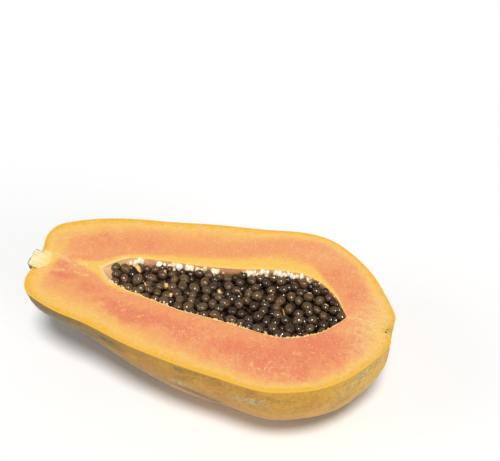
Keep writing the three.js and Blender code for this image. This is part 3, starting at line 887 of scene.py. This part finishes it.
def flesh_zones(place):
    """What the finish reads at each point, and how far the point lies from the hollow and from the skin."""
    x, y, z = place.T
    outline = np.concatenate([skin_points(np.array([turn]), 1.0)[:, 0] for turn in (0.0, np.pi)])
    to_skin = distance_to(outline, place)
    to_hollow = distance_to(np.concatenate([cavity_rim(-1), cavity_rim(1)]), place)
    near = y < cavity_at(x)[2]
    rind_widths = np.where(y < 0, read_list(RIND_WIDTHS_NEAR, x), read_list(RIND_WIDTHS_FAR, x))
    gold_widths = np.where(near, read_list(GOLD_WIDTHS_NEAR, x), read_list(GOLD_WIDTHS_FAR, x))
    rim = hill(to_hollow, 0, np.where(x < WIDE_RIM_END, 2.4, 0.7))
    zones = {
        "rind_depth": to_skin / (2.2 * rind_widths),
        "blush": patches(BLUSHES, x, y),
        "gold": patches(GOLDS, x, y) + 1.1 * hill(to_hollow, 0, gold_widths),
        "veil": patches(VEILS, x, y),
        "lines": patches(LINE_ZONES, x, y),
        "squiggles": patches(SQUIGGLE_ZONES, x, y),
        "vein": strands(place),
        "rim": rim * np.where(near, read_list(RIM_NEAR, x), read_list(RIM_FAR, x)),
        "cream": 1.3 * hill(y, STUB["y"] + 1, 7.5) * np.clip((CORE_END - x) / 5, 0, 1),
        "scar": 1.3 * hill(x, SCAR_X, 1.3) * hill(y, SCAR_Y, 0.9),
        "lining": np.clip(-z / 0.5, 0, 1),
        "wall_depth": (np.clip(-z / 9, 0, 1) + 0.1) * np.clip((x - DARK_WALL_START) / 30, 0, 1),
    }
    return {key: np.clip(value, 0, 1) for key, value in zones.items()}, to_hollow, to_skin


def build_flesh():
    near, near_grain = flesh_side(-1)
    far, far_grain = flesh_side(1)
    turns = np.linspace(0, np.pi, BACK_STEPS + 1)
    back = skin_points(turns, np.tile(deepening(turns), (ALONG + 1, 1)))
    grids = [(grid.reshape(-1, 3), grid_faces(*grid.shape[:2])) for grid in (near, far, back)]
    place, faces = join_shapes(grids)
    values, to_hollow, to_skin = flesh_zones(place)
    grains = [grain.reshape(-1, 3) for grain in (near_grain, far_grain, np.zeros_like(back))]
    values["grain"] = np.concatenate(grains)
    # A cut is never flat: it waves by up to 0.3 mm, and rounds off by 0.45 mm at the rim of the hollow.
    uneven = 0.10 * (wave(place, 0.3, 5.0) + 1) + 0.05 * (wave(place, 1.0, 2.0) + 1)
    lip = 0.45 * hill(to_hollow, 0, 0.8)
    on_face = (place[:, 2] > -0.01) & (to_skin > 0.01)
    place[:, 2] -= np.where(on_face, uneven * np.clip(to_skin / 7, 0, 1) + lip, 0)
    shape = press_down(place), faces
    return add_piece("papaya_flesh", shape, values, flesh_finish(), "fruit_half", corner=60)


build_flesh()

# %% [markdown]
# ## Where the seeds lie
# The solids and this script must agree on every seed, so both follow one rule: a seed is thrown in at
# random and stays only where it is clear of those before it. The random numbers come from a small
# generator that gives the same stream in any language. That gives the top layer, which lies as the solids
# have it, except that the stem end's tip is left empty. More seeds fill the gaps in it, each sunk until
# its neighbours let it lie, and a few small ones press against the far wall.

# %% Seed places
SEED_RADIUS, SEED_STRETCH, SEED_SIZE_SPREAD, SEED_SPACING = 3.0, 1.2, 0.3, 0.96
SEED_TRIES, SEED_LIFT = 3000, 1.6  # how many are thrown in, and how much their heights differ, in mm
# The layer's depth in mm: at the near wall, how much more in the middle, and at the far wall by x.
BED_NEAR_DEPTH, BED_SAG = 2.8, 2.6
BED_FAR = [
    (-70, 4.2), (-50, 5.6), (-16, 5.8), (-2, 3.8), (12, 3.8), (24, 5.4), (48, 5.2), (58, 3.4), (86, 3.0),
]
TIP_END = -65  # the tip of the hollow before this x holds only pale lining
RANDOM_SEED = 20260
WORD = 0xFFFFFFFF  # the random stream works in 32 bits


def random_stream(seed):
    """A repeatable stream of numbers from 0 to 1."""
    state = seed & WORD
    while True:
        state = (state + 0x6D2B79F5) & WORD
        t = ((state ^ (state >> 15)) * (state | 1)) & WORD
        t ^= (t + (((t ^ (t >> 7)) * (t | 61)) & WORD)) & WORD
        yield ((t ^ (t >> 14)) & WORD) / 2**32


def bed_depth(x, y):
    """How far below the cut face the seeds have their centres."""
    width, depth, middle = cavity_at(x)
    across = min(1, max(-1, (y - middle) / max(width, 1)))
    wall = BED_NEAR_DEPTH + (read_list(BED_FAR, x) - BED_NEAR_DEPTH) * (1 + across) / 2
    return min(1, depth / 16) * (wall + BED_SAG * (1 - across**2))


def lie(draw, tilt):
    """How a seed lies: turned to any side, and tilted up or down by at most half of tilt, in radians."""
    return math.pi * next(draw), tilt * (next(draw) - 0.5)


def top_seeds():
    draw = random_stream(RANDOM_SEED)
    first, last = CAVITY[0][0] + SEED_RADIUS, CAVITY[-1][0] - SEED_RADIUS
    seeds = []
    for _ in range(SEED_TRIES):
        x = first + (last - first) * next(draw)
        width, _depth, middle = cavity_at(x)
        radius = SEED_RADIUS * (1 + SEED_SIZE_SPREAD * (next(draw) - 0.5))
        y = middle + max(0, width - 0.75 * radius) * (2 * next(draw) - 1)
        z = min(SEED_LIFT * (next(draw) - 0.5) - bed_depth(x, y), -radius)
        yaw, pitch = lie(draw, 1.2)
        if all((s[0] - x) ** 2 + (s[1] - y) ** 2 > (SEED_SPACING * (s[3] + radius)) ** 2 for s in seeds):
            seeds.append((x, y, z, radius, yaw, pitch))
    return seeds


# %% Seeds that fill the gaps
LOWER_TRIES, LOWER_SPACING = 6000, 0.84  # a spacing below 1 lets the soft coats press together
LOWER_START, LOWER_STEP, LOWER_END = 1.6, 0.4, 7.5  # mm below the top layer: the first try, a step, the last
BESIDE_TRIES, BESIDE_SPACING = 1200, 0.76
BELOW_OVULES, OVULES_END = 2.4, 55  # mm lower at the wall, up to this x, because ovules hang there


def meets(seeds, place, radius, spacing):
    """Whether a seed there would press into another by more than the spacing allows."""
    return any(math.dist(s[:3], place) < spacing * (s[3] + radius) for s in seeds)


def lower_seeds(above, draw):
    """Seeds under and between the top ones, each sunk until it clears them."""
    first, last = CAVITY[0][0] + 8, CAVITY[-1][0] - 4
    seeds = list(above)
    for _ in range(LOWER_TRIES):
        x = first + (last - first) * next(draw)
        width, depth, middle = cavity_at(x)
        radius = SEED_RADIUS * (0.84 + 0.3 * next(draw))
        y = middle + max(0, width - radius) * (2 * next(draw) - 1)
        yaw, pitch = lie(draw, 1.6)
        layer = -bed_depth(x, y)
        floor = radius - depth * math.sqrt(max(0, 1 - ((y - middle) / width) ** 2))
        near = [s for s in seeds if math.hypot(s[0] - x, s[1] - y) < s[3] + radius]
        z = layer - LOWER_START
        while z > floor and meets(near, (x, y, z), radius, LOWER_SPACING):
            z -= LOWER_STEP
        if z > floor and z > layer - LOWER_END:
            seeds.append((x, y, z, radius, yaw, pitch))
    return seeds[len(above):]


def wall_seeds(others, draw):
    """Seeds pressed against the far wall, lower down where ovules hang above them."""
    seeds = list(others)
    for _ in range(BESIDE_TRIES):
        x = 84 - 142 * next(draw) ** 1.4  # more of them towards the blossom end
        width, depth, middle = cavity_at(x)
        radius = SEED_RADIUS * (0.72 + 0.2 * next(draw))
        z = -radius - 2.2 * next(draw) - (BELOW_OVULES if x < OVULES_END else 0)
        y = middle + width * math.sqrt(max(0, 1 - (z / depth) ** 2)) - 0.8 * radius
        yaw, pitch = lie(draw, 1.6)
        if not meets(seeds, (x, y, z), radius, BESIDE_SPACING):
            seeds.append((x, y, z, radius, yaw, pitch))
    return seeds[len(others):]


upper = [seed for seed in top_seeds() if seed[0] > TIP_END]
lower = lower_seeds(upper, random_stream(RANDOM_SEED + 5))
beside = wall_seeds(upper + lower, random_stream(RANDOM_SEED + 6))
seed_places = upper + lower + beside
print(len(upper), "seeds on top,", len(lower), "between and below, and", len(beside), "at the far wall")

# %% [markdown]
# ## The seeds
# A ripe seed is nearly black and warty, but its coat is a clear skin full of juice, so it looks like a
# smooth olive-brown bead with a crisp highlight. Each bead is an ellipsoid of some 470 triangles, pulled
# a little out of shape so that no two are alike. The clear coat is the shader's own, over a darker body.
# Where two beads touch, and on the lower seeds, the mesh stores a darker tint: painted shade. Their tops are
# painted lighter. All the beads are one mesh, since nobody picks a single seed out.

# %% Seed finish
def seed_finish():
    f = Finish("papaya_seed", Coat_Weight=1.0, Coat_Roughness=0.03, Coat_IOR=1.62, Specular_IOR_Level=0.12)
    tint = f.value("tint")
    vein = f.noise(620, 4, 0.62, distortion=0.9)
    dark = f.ramp(tint, (0.0, (22, 14, 9)), (0.4, (62, 43, 26)), (1.0, (96, 70, 42)))
    light = f.ramp(tint, (0.0, (42, 29, 18)), (0.4, (102, 75, 46)), (1.0, (138, 106, 68)))
    colour = f.blend(f.times(f.fade(vein, 0.4, 0.72), 0.7), dark, light)
    normal = f.bump(vein, 0.25, 0.0004)
    f.join(f.bump(f.noise(260, 2), 0.1, 0.0005), f.shader.inputs["Coat Normal"])
    return f.wear(colour, f.plus(f.times(vein, 0.2), 0.4), normal)


# %% Round beads
BEAD_HEIGHT = 0.94  # a bead is slightly flattened


def unit_ball(rings, around):
    """Points and faces of a ball of radius 1 whose poles lie on X."""
    slices = []
    for i in range(1, rings):
        a = math.pi * i / rings
        turns = [2 * math.pi * j / around for j in range(around)]
        slices.append([(-math.cos(a), math.sin(a) * math.cos(b), math.sin(a) * math.sin(b)) for b in turns])
    return close_rings([(-1.0, 0.0, 0.0)], np.array(slices), [(1.0, 0.0, 0.0)])


def beads(places, stretch, rings, around, lumps):
    """A list of shapes, one lumpy ball for each (x, y, z, radius, yaw, pitch)."""
    unit, faces = unit_ball(rings, around)
    made = []
    for k, (x, y, z, radius, yaw, pitch) in enumerate(places):
        lump = 1 + lumps * wave(unit * 1.3, 1.0, 11.0 * k)
        turn = Matrix.Rotation(yaw, 3, "Z") @ Matrix.Rotation(pitch, 3, "Y")
        ball = unit * lump[:, None] * radius * np.array([stretch, 1.0, BEAD_HEIGHT])
        made.append((ball @ np.array(turn).T + (x, y, z), faces))
    return made


def shade_of(places):
    """A repeatable number from 0 to 1 for each place."""
    return [abs(math.sin(12.9898 * p[0] + 78.233 * p[1])) ** 1.5 for p in places]


# %% Seed tints
# Spots where the bed is shaded, by x and y in mm, with their reach in each and their strength.
SHADED = [(16, -8, 10, 5, 0.55), (47, -10, 13, 5, 0.6), (-15, 12, 6, 4, 0.4), (22, 17, 6, 4, 0.4)]
PALE_END = -42  # the seeds round this x, towards the stem end, are lighter


def painted_seed_shade(shapes, places):
    """For each point of each seed, painted shade: 0 where it meets a neighbour, low underneath, 1 on its lit
    top.
    """
    centres, radii = np.array([p[:3] for p in places]), np.array([p[3] for p in places])
    shares = []
    for k, (points, _faces) in enumerate(shapes):
        apart = np.linalg.norm(centres - centres[k], axis=1)
        near = np.flatnonzero((apart < 3 * SEED_RADIUS) & (apart > 0))
        gap = (np.linalg.norm(points[:, None] - centres[near], axis=-1) / radii[near]).min(axis=1)
        height = (points[:, 2] - centres[k, 2]) / radii[k]
        shares.append(np.clip((gap - 1) / 0.3, 0, 1) * np.clip(0.6 + 0.55 * height, 0, 1))
    return np.concatenate(shares)


def seed_tints(shapes):
    """How light each point of each seed is: painted light on top, painted shade lower down and where seeds
    touch.
    """
    tints = [0.34 + 0.62 * v + 0.4 * hill(s[0], PALE_END, 32) for v, s in zip(shade_of(upper), upper)]
    # Painted shade: lower seeds, and those pressed against the far wall, get darker tints.
    tints += [0.08 + 0.25 * v for v in shade_of(lower)] + [0.15 + 0.5 * v for v in shade_of(beside)]
    tints = [t * (1 - min(0.8, patches(SHADED, s[0], s[1]))) for t, s in zip(tints, seed_places)]
    # Painted shade between seeds goes no darker than this floor, which is higher towards the stem end.
    painted_shade_floor = spread([0.12 + 0.4 * hill(s[0], PALE_END - 4, 34) for s in seed_places], shapes)
    return spread(tints, shapes) * (painted_shade_floor + (1 - painted_shade_floor) * painted_seed_shade(shapes, seed_places))


seed_shapes = beads(seed_places, SEED_STRETCH, rings=14, around=18, lumps=0.1)
seed_values = {"tint": seed_tints(seed_shapes)}
seed_mesh = join_shapes(seed_shapes)
add_piece("papaya_seeds", seed_mesh, seed_values, seed_finish(), "ripe_seeds", weld=False)

# %% [markdown]
# ## Unripe ovules
# Not every ovule becomes a seed. Those that never did stay as small white drops that hang in clusters
# from the wall. The solids carry the first four of each cluster in the same places. Here they are smooth
# drops that lean out of the wall, with smaller neighbours.

# %% Ovules
OVULE_CLUSTERS = [-52, -36, -28, -20, -12, -2, 19, 28, 36, 44, 53]
OVULES_IN_CLUSTER, CLUSTER_SPREAD, OVULE_RADIUS = 4, 6.5, 1.25
OVULE_DEPTHS = (1.6, 5.2)
SMALL_OVULES, SMALL_OVULE_DEPTHS, SMALL_OVULE_SAG = 6, (0.9, 5.0), 1.8


def ovule_places(draw, each, reach, size, depths, sag=0.0):
    """Drops round each cluster, each a quarter sunk in the far wall. Sag hangs some clusters lower."""
    places = []
    for cluster in OVULE_CLUSTERS:
        for _ in range(each):
            x = cluster + reach * (next(draw) - 0.5)
            z = -(depths[0] + (depths[1] - depths[0]) * next(draw)) - sag * abs(math.sin(1.7 * cluster))
            radius = size * (0.85 + 0.35 * next(draw))
            yaw, pitch = math.pi * next(draw), next(draw)
            width, depth, middle = cavity_at(x)
            y = middle + width * math.sqrt(1 - (z / depth) ** 2) - 0.5 * radius
            places.append((x, y, z, radius, yaw, pitch))
    return places


def ovule_finish():
    f = Finish("papaya_ovule", Specular_IOR_Level=0.3)
    colour = f.ramp(f.value("tint"), (0.0, (255, 248, 230)), (0.7, (255, 240, 208)), (1.0, (246, 214, 166)))
    return f.wear(colour, 0.35, f.bump(f.noise(900, 3), 0.3, 0.0003))


ovules = ovule_places(random_stream(RANDOM_SEED + 1), OVULES_IN_CLUSTER, CLUSTER_SPREAD, OVULE_RADIUS,
                      OVULE_DEPTHS)
ovules += ovule_places(random_stream(RANDOM_SEED + 2), SMALL_OVULES, CLUSTER_SPREAD * 1.5,
                       0.82 * OVULE_RADIUS, SMALL_OVULE_DEPTHS, SMALL_OVULE_SAG)
hanging = [(*place[:4], 0.4 * place[4] - 0.7 * math.pi, 0.3 + 0.8 * place[5]) for place in ovules]
ovule_shapes = beads(hanging, stretch=1.45, rings=9, around=12, lumps=0.2)
ovule_values = {"tint": spread(shade_of(ovules), ovule_shapes)}
ovule_mesh = join_shapes(ovule_shapes)
add_piece("papaya_ovules", ovule_mesh, ovule_values, ovule_finish(), "fruit_half", weld=False)

# %% [markdown]
# ## Torn threads
# A knife pushes through the hollow rather than slicing it. The near rim is left ragged: a thin torn strip
# of lining hangs over the seeds, with crumbs and short tufts on it, and a few yellow threads that held
# seeds lie loose among them. A thread is a tube with a squashed section, thin at both ends, swept along a
# few points, and the torn strip is a flat tube whose inner side wanders. Hair strands would be quicker,
# but they are not solid.

# %% Tubes along a path
def tube(path, radii, sides=7, squash=0.6):
    """A closed tube through the path's points, pointed at both ends."""
    path, rings = np.asarray(path, float), []
    turns = np.linspace(0, 2 * np.pi, sides, endpoint=False)
    for k in range(1, len(path) - 1):
        ahead = path[k + 1] - path[k - 1]
        side = np.cross(ahead, (0, 0, 1.0)) + (TINY, 0, 0)
        side = side / np.linalg.norm(side)
        up = np.cross(side, ahead / np.linalg.norm(ahead))
        section = np.cos(turns)[:, None] * side + squash * np.sin(turns)[:, None] * up
        rings.append(path[k] + radii[k] * section)
    return close_rings(path[:1], np.array(rings), path[-1:])


def seed_top(x, y):
    """Height of the highest seed under a place."""
    heights = [s[2] + math.sqrt(s[3] ** 2 - d2) for s in upper + lower
               if (d2 := (s[0] - x) ** 2 + (s[1] - y) ** 2) < s[3] ** 2]
    return max(heights, default=-6.0)


# %% Threads and tufts
# Loose threads: x and y in mm, heading in degrees, length and thickest radius in mm, and bend in degrees.
THREADS = [
    (-54, 12, -46, 9, 2.0, 20), (-43, 1, -70, 6.5, 0.8, 50), (-30, 4, -62, 4.5, 1.9, 10),
    (-24, -3.5, -80, 3.8, 1.8, 5), (4, 3.5, 20, 4.6, 2.7, 10), (15, 8, 12, 4, 0.5, 5),
    (58, 17, 18, 6, 0.6, -15), (46, 4, -40, 9, 0.65, -70), (37, 11, 60, 2.5, 0.5, 0),
    (-34, 14, -80, 5, 0.9, 30), (14, 25, -60, 4, 0.9, 0), (70, 12, -30, 4, 0.5, 30),
]
TUFTS = 46
TUFT_SHARES = np.linspace(0, 1, 5)  # the points of a tuft, from its root to its tip
# Crumbs of lining lie in heaps along the near rim: places along X and how many in each heap.
CRUMB_HEAPS = [
    (-60, 8), (-54, 9), (-45, 5), (-41, 7), (-31, 3), (-22, 4), (-10, 4), (9, 3), (20, 5), (25, 5),
    (44, 6), (50, 7), (57, 5), (63, 6), (69, 5), (76, 4),
]
# The torn strip: a factor by x for how far it reaches over the seeds. Its section goes from the root to
# the tip and back, as shares of that reach and heights in mm.
STRIP_WIDTHS = [
    (-66, 0.2), (-58, 1.1), (-50, 1.2), (-38, 0.6), (-30, 0.25), (0, 0.25), (12, 0.4), (22, 0.9),
    (42, 0.8), (52, 1.2), (66, 1.2), (78, 0.8), (83, 0.2),
]
STRIP_SECTION = ((0, 0.1), (0.45, 0.28), (0.85, 0.16), (1, -0.12), (0.85, -0.34), (0.45, -0.4), (0, -0.4))


def loose_thread(x, y, heading, length, radius, bend, steps=9):
    """A torn thread that lies over the tops of the seeds, starting at x and y."""
    path = []
    for k in range(steps):
        share = k / (steps - 1)
        path.append((x, y, min(seed_top(x, y) + radius * 0.35, -0.05 - radius * 0.5)))
        angle = math.radians(heading + bend * share)
        x, y = x + math.cos(angle) * length / steps, y + math.sin(angle) * length / steps
    path = np.array(path)
    path[1:-1, 2] = (path[:-2, 2] + path[1:-1, 2] + path[2:, 2]) / 3
    swell = np.sin(np.linspace(0.3, np.pi - 0.2, steps)) ** 0.5
    radii = 0.75 * radius * swell * (1 + 0.35 * wave(path, 0.9, heading))
    return tube(path, radii, squash=0.4)


def torn_strip(steps=620):
    """The flat tube of torn lining along the near rim."""
    x = np.linspace(STRIP_WIDTHS[0][0], STRIP_WIDTHS[-1][0], steps)
    width, _depth, middle = cavity_at(x)
    root = np.stack([x, middle - width - 0.5, np.full_like(x, -0.6)], axis=-1)
    tongues = wave(root * (1, 0, 0), 0.42, 21.0) + 0.6 * wave(root * (1, 0, 0), 1.1, 8.0)
    reach = 0.42 + 2.4 * read_list(STRIP_WIDTHS, x) * np.clip(tongues, 0, 1) ** 1.2
    rough = 0.22 * wave(root * (1, 0, 0), 2.2, 4.0)
    inward = np.gradient(middle - width, x)
    inward = np.stack([-inward, np.ones_like(x), np.zeros_like(x)], axis=-1) / np.hypot(inward, 1)[:, None]
    rings = []
    for share, height in STRIP_SECTION:
        sag = -0.35 * share * reach
        out = inward * (share * (reach + rough))[:, None]
        rings.append(root + out + (0, 0, 1) * (height + sag + rough)[:, None])
    rings = np.stack(rings, axis=1)
    return close_rings(rings[0].mean(0, keepdims=True), rings, rings[-1].mean(0, keepdims=True))


def tuft(draw):
    """A short tongue of torn lining that leans from the rim over the seeds."""
    side = -1 if next(draw) < 0.82 else 1
    x = (-64 if side < 0 else 56) + (148 if side < 0 else 28) * next(draw)
    width, _depth, middle = cavity_at(x)
    root = np.array([x, middle + side * (width + 0.5), -0.45 - 0.5 * next(draw)])
    length = 1.0 + 2.4 * next(draw) ** 2.2
    radius = 0.3 + 0.45 * next(draw)
    lean = math.radians(-side * 90 + 130 * (next(draw) - 0.5))
    drop = 0.15 + 0.5 * next(draw)
    path = [root + length * s * np.array([math.cos(lean), math.sin(lean), -drop * s]) for s in TUFT_SHARES]
    return tube(path, radius * np.array([0.5, 1.0, 0.9, 0.6, 0.2]), sides=6)


def crumbs(draw):
    """Lumps of torn lining on the near rim, as places for beads."""
    places = []
    for heap, count in CRUMB_HEAPS:
        for _ in range(count):
            x = heap + 5.5 * (next(draw) - 0.5)
            width, _depth, middle = cavity_at(x)
            radius = 0.28 + 0.5 * next(draw) ** 2
            inward = 1.5 * next(draw) ** 1.5 - 0.2
            z = -0.3 - 0.55 * radius - 0.5 * inward * next(draw)
            places.append((x, middle - width + inward, z, radius, math.pi * next(draw), next(draw) - 0.5))
    return places


def thread_finish():
    f = Finish("papaya_thread", Specular_IOR_Level=0.35)
    tint = f.plus(f.value("tint"), f.swing(f.noise(240, 3), 0.5))
    pale = f.ramp(tint, (0.0, (254, 232, 180)), (0.4, (252, 212, 138)), (1.0, (238, 172, 88)))
    colour = f.blend(f.times(f.fade(f.noise(600, 3), 0.5, 0.75), 0.35), pale, screen(232, 164, 104))
    return f.wear(colour, 0.4, f.bump(f.noise(900, 3), 0.3, 0.0003))


draw = random_stream(RANDOM_SEED + 7)
torn = [tuft(draw) for _ in range(TUFTS)]
torn += beads(crumbs(draw), stretch=1.4, rings=9, around=12, lumps=0.6) + [torn_strip()]
threads = [loose_thread(*row) for row in THREADS]
tints = [0.1 + 0.8 * next(draw) for _ in torn] + [0.45 + 0.4 * next(draw) for _ in threads]
thread_values = {"tint": spread(tints, torn + threads)}
thread_mesh = join_shapes(torn + threads)
add_piece("papaya_threads", thread_mesh, thread_values, thread_finish(), "fruit_half")

# %% [markdown]
# ## The stalk stub
# The knife halved the stub with the fruit. Its cut side is cream and stringy and runs on into the fruit's
# pale core, its rind is green-brown and ribbed, and its end is where the stalk snapped when the fruit was
# picked. It is a lofted half drum, whose rings follow the solid's, with a rough broken end.

# %% Stalk stub
STUB_ROUND, STUB_ACROSS = 60, 40  # steps round the rind, and across the cut side
STUB_CORE_END = -104.5  # the cut side reaches into the fruit's core


def stub_finish():
    f = Finish("papaya_stalk", Specular_IOR_Level=0.3)
    grain = f.noise(420, 4, 0.65, place=f.stretch((0.22, 1.0, 1.0)))
    cut = f.ramp(grain, (0.3, (232, 214, 146)), (0.5, (249, 234, 182)), (0.75, (255, 247, 218)))
    cut = f.blend(f.value("core"), cut, screen(253, 218, 132))
    rind = f.ramp(f.noise(330, 4), (0.3, (84, 80, 26)), (0.55, (128, 124, 44)), (0.75, (176, 168, 88)))
    rind_share = f.fade(f.plus(f.value("rind"), f.swing(f.noise(700, 3), 0.35)), 0.2, 0.7)
    colour = f.blend(rind_share, cut, rind)
    return f.wear(colour, 0.55, f.bump(grain, 0.5, 0.0005))


def stub_shell():
    """Rings of the half drum, from its snapped end to its seat, and a small one inside the fruit's core."""
    radius, length = STUB["radius"], STUB["seat"] - STUB["end"]
    widths = [(0.0, 0.4), (0.0, radius * 0.5), (0.0, radius * 0.82), (0.05, radius + 0.5),
              (0.14, radius + STUB["flare"]), (0.28, radius + 0.25), (0.42, radius), (0.55, radius),
              (0.7, radius * 0.97), (0.85, radius * 0.95), (1.0, radius * 0.94)]
    turn = np.linspace(0, np.pi, STUB_ROUND + 1)
    ribs = 1 + STUB["rib_height"] * np.cos(STUB["ribs"] * turn + 0.8 * np.sin(3 * turn))
    rings = []
    for share, width in widths:
        ring = width * ribs
        corner = np.where(turn < np.pi / 2, np.clip(0.6 + share * 0.75, 0, 1), 1)  # the near one broke off
        x = np.full_like(turn, STUB["end"] + share * length)
        rings.append(np.stack([x, STUB["y"] - ring * corner * np.cos(turn), -ring * np.sin(turn)], axis=-1))
    core = np.array([STUB_CORE_END, STUB["y"], -1.5]) + (rings[-1] - rings[-1].mean(0)) * 0.3
    return np.stack(rings + [core])


def build_stub():
    shell = stub_shell()
    across = np.linspace(0, 1, STUB_ACROSS + 1)
    lid = shell[:, :1] + (shell[:, -1:] - shell[:, :1]) * across[None, :, None]
    grids = [(part.reshape(-1, 3), grid_faces(*part.shape[:2])) for part in (shell, lid)]
    points, faces = join_shapes(grids)
    # How far each point of the cut side lies from its edge, where the rind shows.
    to_side = np.minimum(across, 1 - across) * np.linalg.norm(shell[:, -1] - shell[:, 0], axis=-1)[:, None]
    to_side = to_side + np.clip(lid[..., 0] - STUB["seat"] + 2, 0, 9)
    to_end = np.maximum(lid[..., 0] - STUB["end"], 0) + np.where(lid[..., 1] < STUB["y"], 0, 0.3)
    edge = np.concatenate([np.full(shell[..., 0].size, 9.0), np.minimum(to_side, to_end).ravel()])
    snapped = points[:, 0] < STUB["end"] + 0.1
    rind = np.clip((-points[:, 2] - 0.15) / 0.5, 0, 1) * ~snapped
    points[:, 0] += np.where(snapped, 0.5 * (wave(points, 0.45, 4.0) + 0.6), 0)
    rind = np.maximum(rind, np.clip(1.5 - edge / 0.55, 0, 1) * 0.9)
    rind = rind * np.clip((STUB["seat"] - points[:, 0]) / 2.5, 0, 1)
    values = {"rind": rind, "core": np.clip((points[:, 0] + 113) / 7, 0, 1)}
    shape = points, faces
    return add_piece("papaya_stalk", shape, values, stub_finish(), "stalk_stub", corner=45)


build_stub()
